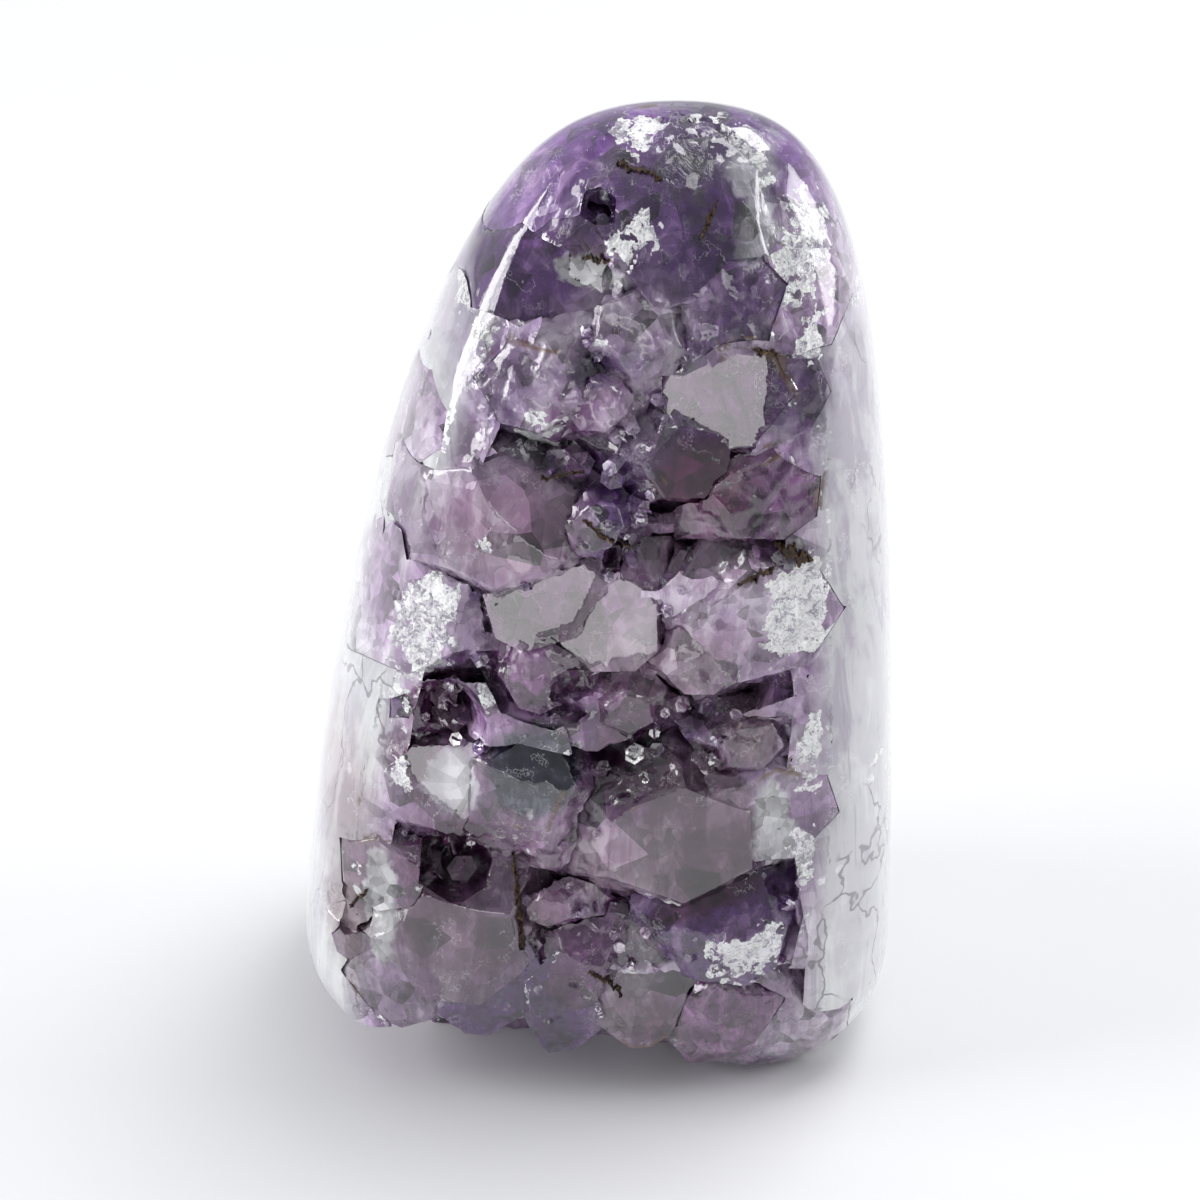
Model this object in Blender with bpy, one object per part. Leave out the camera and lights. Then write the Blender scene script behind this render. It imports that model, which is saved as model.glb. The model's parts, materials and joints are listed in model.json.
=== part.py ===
"""Amethyst cluster: a druse of quartz crystals, ground and polished to one tall rounded form.

The crystals grew out of one intergrown mass towards the front (-Y). Grinding cut the mass, and the
tips that stood too far out, to one smooth outline. Between the tips the natural faces and hollows
remain. The origin is the middle of the sawn base, +Z is up and the crystal side faces -Y.
"""

import math

import bmesh
import bpy
from mathutils import Matrix, Vector, noise

MM = 0.001
LOST_VOLUME = 1e-9  # cubic metres; a sound cut never loses this much more than its cutter holds

# The polished outline, in millimetres.
HEIGHT = 110.0
WAIST_Z = 12.0  # height at which the form is widest
BELOW_WAIST = 18.0  # how far the lower curve would run down before the base is sawn off
HALF_WIDTH = 33.4
FRONT_DEPTH = 26.0  # from the middle to the crystal side, at the waist
BACK_DEPTH = 25.0
APEX_X = 8.6  # the top leans to the right
APEX_Y = 4.0  # and back
RINGS = 30
SEGMENTS = 48

GAP = 0.3  # parting between two pieces
CRYSTAL_DEPTH = 13.0  # how far a crystal reaches into the mass behind its polished front
RHOMB_RISE = 1.27  # rise of a quartz termination over its inner radius
SHORTEST_PRISM = 0.4  # of a crystal's radius
ROOT_TAPER = 0.9  # a prism's root over its shoulder
OFF_CENTRE = 0.16  # how far the point stands off the prism's middle, of its radius
FLATTENING = 0.08  # a crystal's hexagon is this much wider one way than the other
# A socket is wider than its crystal by these shares of the gap, so that slanted faces keep it too.
SOCKET_SIDE = 1.2
SOCKET_POINT = 1.6

# The natural floor behind the crystals.
RECESS_MIDDLE_Z = 52.0
RECESS_HALF_HEIGHT = 53.0
RECESS_MIDDLE_X = -1.5  # from the middle of the form
RECESS_DEPTH = 6.0
RECESS_MARGIN = 9.5  # ground surface left on each side of it
RECESS_LEAST_HALF = 4.0
RECESS_CUTS = 9
FLOOR_WAVE = 2.6  # how far its floor rises and falls
FLOOR_LUMPS = 0.13  # lumps per millimetre on its floor
MARGIN_WAVE = 3.8  # how far its sides wander
MARGIN_LUMPS = 0.23  # bends per millimetre along its sides
SIDES_APART = 3.0  # how differently its two sides wander
IN_FRONT = -45.0  # clear of everything on the crystal side

LUMPS = 0.16  # lumps per millimetre on the broken rim
HOLLOW_ROUGHNESS = 0.3
HOLLOW_STRETCH = 1.3  # a hollow is this much deeper than wide
SAW_CUT_SIZE = (120.0, 120.0, 40.0)
SEED = 7

TONES = {
    "deep": ((0.10, 0.03, 0.16), 0.08),
    "violet": ((0.22, 0.10, 0.32), 0.08),
    "mauve": ((0.42, 0.25, 0.46), 0.10),
    "lilac": ((0.62, 0.50, 0.66), 0.12),
    "clear": ((0.74, 0.68, 0.76), 0.06),
}

# name, x and z of the crystal on the front, radius, reach of the tip past the outline,
# lean to the right and lean upwards in degrees, turn about its own axis, tone
CRYSTALS = (
    ("great_crystal", 8.0, 35.0, 17.5, 8.5, 6, 8, 0, "mauve"),
    ("window_crystal", -16.0, 19.5, 13.5, 7.5, -4, -12, 24, "clear"),
    ("magenta_crystal", 11.0, 76.5, 15.5, 3.0, 14, 2, 14, "violet"),
    ("lilac_crystal", -10.5, 71.0, 15.0, 7.5, -10, 20, 2, "lilac"),
    ("left_clear_crystal", -9.0, 85.5, 13.5, 5.0, -22, 8, 25, "clear"),
    ("pentagon_crystal", 14.5, 87.5, 12.0, 5.0, 12, 34, 12, "clear"),
    ("slate_crystal", -6.5, 45.0, 12.5, 3.5, 4, 40, 10, "clear"),
    ("pale_shoulder_crystal", -18.0, 41.5, 10.5, 5.0, -26, 24, 28, "lilac"),
    ("chevron_left_crystal", -8.5, 62.0, 10.0, 4.0, -20, -6, 5, "mauve"),
    ("chevron_right_crystal", 2.0, 59.5, 10.5, 4.5, 16, -8, 18, "mauve"),
    ("white_flank_crystal", -20.5, 58.0, 13.0, 7.5, -24, 2, 15, "lilac"),
    ("right_flank_crystal", 21.0, 61.5, 13.0, 7.0, 26, 12, 22, "lilac"),
    ("heart_crystal", 11.0, 54.0, 12.5, 3.0, 0, -16, 26, "mauve"),
    ("ember_crystal", 2.5, 50.0, 9.5, 2.0, -4, 6, 7, "mauve"),
    ("cavity_crystal", -20.0, 49.5, 8.5, 1.0, -16, 34, 15, "deep"),
    ("middle_crystal", 1.5, 72.0, 9.5, 2.0, 10, 20, 21, "violet"),
    ("right_ledge_crystal", 21.0, 73.5, 11.0, 4.5, 30, -4, 3, "lilac"),
    ("mauve_step_crystal", -8.0, 53.0, 10.0, 2.5, -16, -18, 12, "mauve"),
    ("fractured_crystal", 17.0, 20.0, 12.0, 5.0, 22, -18, 4, "violet"),
    ("right_strip_crystal", 21.5, 38.5, 11.5, 6.5, 30, 10, 10, "clear"),
    ("rusty_crystal", 17.0, 48.0, 8.5, 2.0, 8, 26, 17, "clear"),
    ("band_crystal", -9.0, 34.5, 10.5, 1.5, -14, 30, 22, "violet"),
    ("lens_crystal", -25.0, 28.5, 9.0, 5.0, -36, 8, 6, "clear"),
    ("shoulder_crystal", 21.0, 84.0, 11.0, 5.0, 40, 10, 20, "lilac"),
    ("left_facet_crystal", -9.0, 97.0, 14.5, 6.0, -34, 30, 18, "violet"),
    ("cloudy_crystal", 5.0, 94.0, 11.5, 3.5, -6, 40, 3, "lilac"),
    ("mauve_crown_crystal", 1.5, 85.5, 10.5, 2.0, 8, 12, 16, "mauve"),
    ("violet_ridge_crystal", 14.5, 98.0, 11.5, 4.0, 14, 50, 24, "violet"),
    ("feather_crystal", 22.5, 94.0, 11.5, 6.5, 50, 24, 7, "clear"),
    ("gable_crystal", -1.5, 100.5, 10.0, 3.5, 4, 42, 27, "clear"),
    ("cap_left_crystal", 3.0, 106.0, 10.5, 4.5, -20, 58, 11, "lilac"),
    ("cap_crystal", 12.0, 107.0, 12.0, 6.0, 20, 70, 21, "deep"),
    ("left_ledge_crystal", -18.5, 78.5, 11.0, 5.5, -40, 22, 9, "lilac"),
    ("pocket_crystal", -28.0, 18.5, 8.0, 2.0, -44, -4, 23, "mauve"),
    ("lip_crystal", -23.5, 10.5, 9.0, 3.5, -22, -34, 13, "lilac"),
    ("root_crystal", -5.0, 25.5, 8.5, 1.5, -12, 4, 9, "mauve"),
    ("drop_crystal", -2.5, 16.0, 9.0, 3.0, 4, -22, 17, "mauve"),
    ("grey_drop_crystal", 5.5, 11.0, 10.0, 4.0, 10, -40, 29, "clear"),
    ("striped_crystal", 13.5, 5.0, 9.0, 3.5, 4, -44, 8, "mauve"),
    ("corner_crystal", 23.0, 4.5, 11.5, 5.5, 34, -30, 19, "lilac"),
    ("hanging_crystal", -4.0, 8.5, 8.0, 2.5, -16, -52, 4, "violet"),
    ("left_hanging_crystal", -13.5, 10.0, 9.0, 3.0, -8, -46, 26, "violet"),
)

# Natural hollows between the crystals: x, z, radius, how far the middle lies behind the front.
HOLLOWS = (
    (-16.0, 30.5, 5.0, 1.0),
    (-16.0, 49.5, 4.2, 1.0),
    (-2.5, 53.5, 3.2, 0.5),
    (0.0, 104.0, 2.6, 0.5),
    (-28.0, 22.0, 4.0, 0.0),
    (3.0, 68.5, 3.0, 1.0),
)

# Natural breaks along the lower rim, which is lifted off the ground at the front and left:
# middle, reach along x, y and z, roughness.
BREAKS = (
    ((-14.0, -28.0, -3.0), (34.0, 17.0, 13.0), 3.0),
    ((14.0, -28.0, -5.0), (22.0, 14.0, 11.0), 2.5),
    ((-36.0, -10.0, -2.0), (17.0, 24.0, 13.5), 3.0),
)


def blend(low, high, share):
    return low + (high - low) * share


def outline_at(z):
    """Middle x and y, half width, front and back depth and corner powers of the outline at z."""
    if z >= WAIST_Z:
        rise = min((z - WAIST_Z) / (HEIGHT - WAIST_Z), 1.0)
        width = (1 - rise**1.4) ** (1 / 3.2)
        depth = (1 - rise**2) ** (1 / 2.4)
    else:
        rise = 0.0
        drop = min((WAIST_Z - z) / BELOW_WAIST, 1.0)
        width = depth = (1 - drop**2.5) ** (1 / 2.5)
    return (
        APEX_X * rise**1.35,
        APEX_Y * rise,
        HALF_WIDTH * width,
        FRONT_DEPTH * depth,
        BACK_DEPTH * depth,
        blend(3.4, 2.0, rise**2),
        blend(2.5, 2.0, rise**2),
    )


def front_at(x, z):
    """The point of the polished front at x and z."""
    middle_x, middle_y, half, front, _, power, _ = outline_at(z)
    across = min(abs(x - middle_x) / half, 0.98)
    return Vector((x, middle_y - front * (1 - across**power) ** (1 / power), z))


def rounded(value, power):
    return math.copysign(abs(value) ** (2 / power), value)


def new_object(name, mesh_maker, collection):
    mesh = bpy.data.meshes.new(name)
    bm = bmesh.new()
    mesh_maker(bm)
    bmesh.ops.scale(bm, vec=(MM, MM, MM), verts=bm.verts)
    bmesh.ops.recalc_face_normals(bm, faces=bm.faces)
    bm.to_mesh(mesh)
    bm.free()
    obj = bpy.data.objects.new(name, mesh)
    collection.objects.link(obj)
    return obj


def shape_polished_form(bm):
    """A ball whose rings are drawn out to the outline's rounded sections."""
    bmesh.ops.create_uvsphere(bm, u_segments=SEGMENTS, v_segments=RINGS, radius=1.0)
    for vert in bm.verts:
        up = vert.co.z
        angle = math.atan2(vert.co.y, vert.co.x)
        reach = HEIGHT - WAIST_Z if up >= 0 else BELOW_WAIST
        z = WAIST_Z + up * reach
        middle_x, middle_y, half, front, back, front_power, back_power = outline_at(z)
        side, along = math.cos(angle), math.sin(angle)
        depth, power = (front, front_power) if along < 0 else (back, back_power)
        vert.co = (
            middle_x + half * rounded(side, power),
            middle_y + depth * rounded(along, power),
            z,
        )


def crystal_shape(x, z, radius, reach, lean_x, lean_z, turn, grow=0.0):
    """A six-sided quartz prism with its six-faced point, standing at the front."""

    def shape(bm):
        inner = radius * math.cos(math.pi / 6)
        rise = inner * RHOMB_RISE
        length = max(CRYSTAL_DEPTH + reach - rise, radius * SHORTEST_PRISM)
        bmesh.ops.create_cone(
            bm,
            cap_ends=True,
            segments=6,
            radius1=(radius + grow * SOCKET_SIDE) * ROOT_TAPER,
            radius2=radius + grow * SOCKET_SIDE,
            depth=length + 2 * grow,
            matrix=Matrix.Translation((0, 0, -rise - length / 2)),
        )
        bmesh.ops.scale(bm, vec=(1 + FLATTENING, 1 - FLATTENING, 1), verts=bm.verts)
        top = max(bm.faces, key=lambda face: face.calc_center_median().z)
        point = bmesh.ops.poke(bm, faces=[top])["verts"][0]
        off_centre = radius * OFF_CENTRE
        point.co = (off_centre * math.cos(turn), off_centre * math.sin(turn), grow * SOCKET_POINT)
        yaw = math.radians(lean_x)
        pitch = math.radians(lean_z)
        axis = Vector(
            (math.sin(yaw) * math.cos(pitch), -math.cos(yaw) * math.cos(pitch), math.sin(pitch))
        )
        place = front_at(x, z) + axis * reach
        stand = axis.to_track_quat("Z", "Y").to_matrix().to_4x4()
        spin = Matrix.Rotation(math.radians(turn), 4, "Z")
        bmesh.ops.transform(bm, matrix=Matrix.Translation(place) @ stand @ spin, verts=bm.verts)

    return shape


def shape_front_recess(bm):
    """The uneven natural floor that lies behind the crystals on the front."""
    bmesh.ops.create_cube(bm, size=2.0)
    bmesh.ops.subdivide_edges(bm, edges=bm.edges, cuts=RECESS_CUTS, use_grid_fill=True)
    bmesh.ops.triangulate(bm, faces=bm.faces)
    for vert in bm.verts:
        across, deep, up = vert.co
        is_floor = deep > 0.9
        z = RECESS_MIDDLE_Z + RECESS_HALF_HEIGHT * up
        middle_x, middle_y, half, front, _, _, _ = outline_at(z)
        x = middle_x + RECESS_MIDDLE_X + across * max(half - RECESS_MARGIN, RECESS_LEAST_HALF)
        y = middle_y - front + RECESS_DEPTH if is_floor else IN_FRONT
        vert.co = (x, y, z)
        if is_floor:
            vert.co.y += FLOOR_WAVE * noise.noise(vert.co * FLOOR_LUMPS)
        bend = Vector((across * SIDES_APART, z * MARGIN_LUMPS, SEED))
        vert.co.x += MARGIN_WAVE * noise.noise(bend)


def broken_hollow(middle, reach, roughness):
    """A lumpy flat-faced hollow, as a natural break leaves it."""

    def shape(bm):
        bmesh.ops.create_icosphere(bm, subdivisions=3, radius=1.0)
        for vert in bm.verts:
            vert.co = Vector([way * share for way, share in zip(vert.co, reach, strict=True)])
            vert.co += Vector(middle)
            vert.co += vert.normal * roughness * noise.noise(vert.co * LUMPS)

    return shape


def shape_saw_cut(bm):
    """Everything below the sawn base."""
    bmesh.ops.create_cube(bm, size=1.0)
    bmesh.ops.translate(bm, vec=(0, 0, -0.5), verts=bm.verts)
    bmesh.ops.scale(bm, vec=SAW_CUT_SIZE, verts=bm.verts)


def hollow_shape(x, z, radius, behind):
    def shape(bm):
        place = front_at(x, z) + Vector((0, behind, 0))
        bmesh.ops.create_icosphere(bm, subdivisions=1, radius=radius)
        for vert in bm.verts:
            vert.co *= 1 + HOLLOW_ROUGHNESS * noise.noise(vert.co + place)
            vert.co.y *= HOLLOW_STRETCH
        bmesh.ops.translate(bm, vec=place, verts=bm.verts)

    return shape


def mesh_volume(mesh):
    bm = bmesh.new()
    bm.from_mesh(mesh)
    volume = bm.calc_volume(signed=True)
    bm.free()
    return volume


def boolean_mesh(target, cutter, operation, solver):
    modifier = target.modifiers.new(operation.lower(), "BOOLEAN")
    modifier.operation = operation
    modifier.object = cutter
    modifier.solver = solver
    graph = bpy.context.evaluated_depsgraph_get()
    mesh = bpy.data.meshes.new_from_object(target.evaluated_get(graph))
    target.modifiers.clear()
    return mesh


def cut(target, cutter, operation):
    """Applies one boolean. Where the exact solver drops a body, the manifold solver does the cut."""
    mesh = boolean_mesh(target, cutter, operation, "EXACT")
    before, taken = mesh_volume(target.data), mesh_volume(cutter.data)
    least = before - taken if operation == "DIFFERENCE" else 0.0
    if not least - LOST_VOLUME < mesh_volume(mesh) < before + LOST_VOLUME:
        bpy.data.meshes.remove(mesh)
        mesh = boolean_mesh(target, cutter, operation, "MANIFOLD")
    old = target.data
    target.data = mesh
    mesh.name = target.name
    bpy.data.meshes.remove(old)


def body_volume(faces):
    total = 0.0
    for face in faces:
        first = face.verts[0].co
        for second, third in zip(face.verts[1:-1], face.verts[2:], strict=True):
            total += first.dot(second.co.cross(third.co))
    return total / 6


def keep_largest_body(obj):
    """Drops the loose splinters that a cut leaves beside the piece."""
    bm = bmesh.new()
    bm.from_mesh(obj.data)
    left = set(bm.faces)
    bodies = []
    while left:
        stack = [left.pop()]
        body = list(stack)
        while stack:
            face = stack.pop()
            for edge in face.edges:
                for other in edge.link_faces:
                    if other in left:
                        left.remove(other)
                        stack.append(other)
                        body.append(other)
        bodies.append(body)
    bodies.sort(key=body_volume, reverse=True)
    for body in bodies[1:]:
        bmesh.ops.delete(bm, geom=body, context="FACES")
    loose = [vert for vert in bm.verts if not vert.link_faces]
    bmesh.ops.delete(bm, geom=loose, context="VERTS")
    bm.to_mesh(obj.data)
    bm.free()


def near(first, second):
    """Whether the boxes of two pieces meet."""
    for axis in range(3):
        low_1 = min(vert.co[axis] for vert in first.data.vertices)
        high_1 = max(vert.co[axis] for vert in first.data.vertices)
        low_2 = min(vert.co[axis] for vert in second.data.vertices)
        high_2 = max(vert.co[axis] for vert in second.data.vertices)
        if high_1 < low_2 or high_2 < low_1:
            return False
    return True


def give_material(obj, tone):
    colour, roughness = TONES[tone]
    material = bpy.data.materials.new(obj.name)
    material.use_nodes = True
    shader = material.node_tree.nodes["Principled BSDF"]
    shader.inputs["Base Color"].default_value = (*colour, 1)
    shader.inputs["Roughness"].default_value = roughness
    shader.inputs["Metallic"].default_value = 0.0
    material.diffuse_color = (*colour, 1)
    obj.data.materials.clear()
    obj.data.materials.append(material)


def clear_scene():
    for obj in list(bpy.data.objects):
        bpy.data.objects.remove(obj, do_unlink=True)


def new_collection(name):
    collection = bpy.data.collections.new(name)
    bpy.context.scene.collection.children.link(collection)
    return collection


def main():
    clear_scene()
    parts = new_collection("amethyst_cluster")
    cutters = new_collection("cutters")

    polished_form = new_object("polished_form", shape_polished_form, cutters)
    saw_cut = new_object("saw_cut", shape_saw_cut, cutters)
    cut(polished_form, saw_cut, "DIFFERENCE")
    front_recess = new_object("front_recess", shape_front_recess, cutters)
    breaks = [
        new_object(f"break_{index}", broken_hollow(*way), cutters)
        for index, way in enumerate(BREAKS)
    ]
    hollows = [
        new_object(f"hollow_{index}", hollow_shape(*hollow), cutters)
        for index, hollow in enumerate(HOLLOWS)
    ]

    mass = new_object("polished_mass", shape_polished_form, parts)
    for cutter in (saw_cut, front_recess, *breaks):
        cut(mass, cutter, "DIFFERENCE")

    sockets = []
    for name, *shape, tone in CRYSTALS:
        crystal = new_object(name, crystal_shape(*shape), parts)
        cut(crystal, polished_form, "INTERSECT")
        for cutter in [*sockets, *hollows]:
            if near(crystal, cutter):
                cut(crystal, cutter, "DIFFERENCE")
        keep_largest_body(crystal)
        give_material(crystal, tone)
        sockets.append(new_object(f"{name}_socket", crystal_shape(*shape, grow=GAP), cutters))

    for cutter in [*sockets, *hollows]:
        cut(mass, cutter, "DIFFERENCE")
    keep_largest_body(mass)
    give_material(mass, "violet")

    for cutter in cutters.objects:
        cutter.hide_render = True
        cutter.display_type = "WIRE"


main()
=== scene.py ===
"""Amethyst cluster: the visible stone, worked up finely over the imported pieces.

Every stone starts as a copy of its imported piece. Its polished faces are drawn out onto the true
rounded outline, its natural faces get fine relief, and each crystal has its own amethyst finish.
"""

import json
import math

import bmesh
import bpy
import numpy as np
from mathutils import Matrix, Vector, kdtree, noise
from mathutils.bvhtree import BVHTree


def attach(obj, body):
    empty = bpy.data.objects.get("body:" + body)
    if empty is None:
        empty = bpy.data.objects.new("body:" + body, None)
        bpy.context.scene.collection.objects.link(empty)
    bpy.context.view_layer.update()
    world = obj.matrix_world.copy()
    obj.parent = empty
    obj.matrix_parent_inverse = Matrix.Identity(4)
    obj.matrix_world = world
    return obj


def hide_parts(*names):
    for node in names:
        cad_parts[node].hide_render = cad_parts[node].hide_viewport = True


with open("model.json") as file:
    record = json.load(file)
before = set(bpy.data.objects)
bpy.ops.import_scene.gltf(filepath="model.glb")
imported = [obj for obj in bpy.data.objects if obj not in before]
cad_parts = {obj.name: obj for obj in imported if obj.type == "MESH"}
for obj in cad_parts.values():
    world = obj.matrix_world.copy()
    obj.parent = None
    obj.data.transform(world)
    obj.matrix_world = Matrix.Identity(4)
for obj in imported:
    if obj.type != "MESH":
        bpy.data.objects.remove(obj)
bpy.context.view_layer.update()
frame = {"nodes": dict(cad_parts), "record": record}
MM = 0.001

# The polished outline of the stone, in millimetres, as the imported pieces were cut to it.
HEIGHT = 110.0
WAIST_Z = 12.0
BELOW_WAIST = 18.0
HALF_WIDTH = 33.4
FRONT_DEPTH = 26.0
BACK_DEPTH = 25.0
APEX_X = 8.6
APEX_Y = 4.0

POLISH_WITHIN = 0.28  # a face this close to the outline, in millimetres, was polished
POLISH_LIKENESS = 0.94  # and its direction agrees at least so well with the outline's
BASE_TOP = 0.02  # points below this height, in millimetres, lie on the sawn base
BASE_EDGE = 0.05  # a face that reaches below this height isn't polished
FINE_EDGE = 0.62  # longest edge of the mesh near the front surface, in millimetres
WALL_EDGE = 1.4  # the same on the walls deeper down
SMOOTH_EDGE = 1.9  # the same on the polished sides and back
BASE_EDGE_LENGTH = 2.8  # the same on the sawn base
FINE_DEPTH = 2.5  # how deep under the outline the mesh stays fine, in millimetres
MASS_FINE_DEPTH = 9.0  # the same on the polished mass, whose hollows fill up
CUT_ROUNDS = 8  # how often long edges are halved at most
MERGE_WITHIN = 2e-6  # vertices this close, in metres, are one
SEAM_SWELL = 0.155  # how far natural faces swell to close the partings, in millimetres
SEAM_THICKNESS = 0.7  # thickness of a stained crack, in millimetres
SEAM_SUNK = 1.6  # how far a stained crack follows the stones down, in millimetres
RIM_PUSH = (0.2, 1.0)  # limits that keep the push along a rim from running away
RIM_INSIDE = 0.6  # how stained the natural faces are
RIM_REACH = 1.6  # how far chips and stains reach in from a parting, in millimetres
# The broken surface: size of its flats in millimetres and how steep they stand.
BREAKS = ((4.2, 0.32), (1.7, 0.28))
BREAK_FOOT = 2.0  # the breaking reaches its full depth at this height, in millimetres
BROKEN_OVER = 0.02  # a face lowered by more than this, in millimetres, lost its polish
# Steps of the natural faces: size, middle height, where they start under the outline, how far
# they take to grow, all in millimetres, and how strong they are.
STEP_SIZE = 1.9
STEP_MIDDLE = 0.45
STEP_START = 0.3
STEP_GROWTH = 1.2
STEP_RELIEF = 0.6
DEPTH_SHOWN = 10.0  # hollows this deep, in millimetres, get the darkest painted shade
SLIVER = 0.02  # edges shorter than this, in millimetres, close up
SHARP_ANGLE = math.radians(18)  # an edge sharper than this stays crisp
# Hollows that stay open: x and z of the middle, half width and half height, in millimetres.
HOLLOWS = (
    (-3.4, 55.7, 3.2, 3.0),
    (-17.1, 48.5, 4.0, 4.6),
    (-18.5, 42.0, 3.2, 3.6),
    (-15.5, 31.0, 6.0, 4.4),
    (-6.5, 28.0, 2.6, 5.0),
    (3.0, 22.0, 4.5, 3.0),
    (1.4, 89.0, 5.0, 1.4),
)
HOLLOW_EDGE = 0.35  # how soft their edge is, as a share of their size
MASS_TRAITS = (0.6, 0.1, 5.0)  # its fractures, clearness and chip size, as in CRYSTALS
MASS_BROKEN = 0.7  # how strongly the front of the polished mass is broken
MASS_FILL = 0.88  # how much of the hollows has grown up again
FILL_HEIGHTS = (11.0, 109.0)  # nothing is filled below the first height and above the second
FILL_FADE = 6.0  # how far in from those heights the filling is complete, in millimetres
FILL_DEPTH = (14.0, 20.0)  # hollows shallower than the first are filled, deeper than the second not
# Across the front, where the broken surface starts to fade and ends, to the left and to the right.
LEFT_SHARE = (0.76, 0.86)
RIGHT_SHARE = (0.66, 0.76)

# Where the camera stands: height above the horizon, distance and what it looks at.
CAMERA_ELEVATION = math.radians(34)
CAMERA_DISTANCE = 0.600
CAMERA_AIM = (0.0003, -0.0006, 0.0511)
CAMERA_LENS = 162

# The light tent: how far to the front it starts and ends to dim, and its two strengths.
TENT_GLOW = (-0.9, 0.2, 0.28, 0.72)
# name, place, width, height, watts
SOFTBOXES = (
    ("top_softbox", (0.30, 0.30, 0.82), 0.42, 0.42, 3.2),
    ("left_softbox", (-0.8, -0.05, 0.35), 0.4, 0.55, 4.3),
    ("right_softbox", (0.85, 0.1, 0.30), 0.4, 0.55, 2.8),
    ("front_softbox", (-0.15, -0.75, 0.16), 0.36, 0.19, 0.5),
)

PURPLES = {
    "deep": ((0.022, 0.006, 0.045), (0.075, 0.022, 0.140), (0.24, 0.12, 0.34)),
    "violet": ((0.040, 0.010, 0.085), (0.150, 0.055, 0.245), (0.42, 0.25, 0.52)),
    "mauve": ((0.080, 0.014, 0.095), (0.250, 0.090, 0.265), (0.56, 0.34, 0.57)),
    "lilac": ((0.190, 0.080, 0.240), (0.430, 0.290, 0.480), (0.72, 0.61, 0.76)),
    "clear": ((0.100, 0.036, 0.112), (0.230, 0.130, 0.245), (0.48, 0.37, 0.49)),
}
PATCH_TONES = {
    **PURPLES,
    "plum": ((0.030, 0.003, 0.030), (0.090, 0.014, 0.080), (0.24, 0.08, 0.22)),
    "wine": ((0.060, 0.005, 0.040), (0.150, 0.022, 0.095), (0.33, 0.12, 0.26)),
    # painted shade for the darkest open hollow
    "black": ((0.006, 0.004, 0.008), (0.014, 0.010, 0.016), (0.06, 0.05, 0.065)),
    "slate": ((0.010, 0.012, 0.028), (0.030, 0.034, 0.064), (0.18, 0.19, 0.26)),
    "grey": ((0.100, 0.040, 0.090), (0.150, 0.072, 0.136), (0.33, 0.21, 0.31)),
    "rose": ((0.21, 0.09, 0.19), (0.43, 0.26, 0.40), (0.72, 0.57, 0.69)),
    "pale": ((0.34, 0.32, 0.38), (0.52, 0.50, 0.57), (0.74, 0.72, 0.78)),
    "white": ((0.52, 0.51, 0.55), (0.70, 0.69, 0.73), (0.84, 0.83, 0.86)),
    "earth": ((0.10, 0.050, 0.08), (0.24, 0.15, 0.19), (0.46, 0.37, 0.40)),
}
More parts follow.
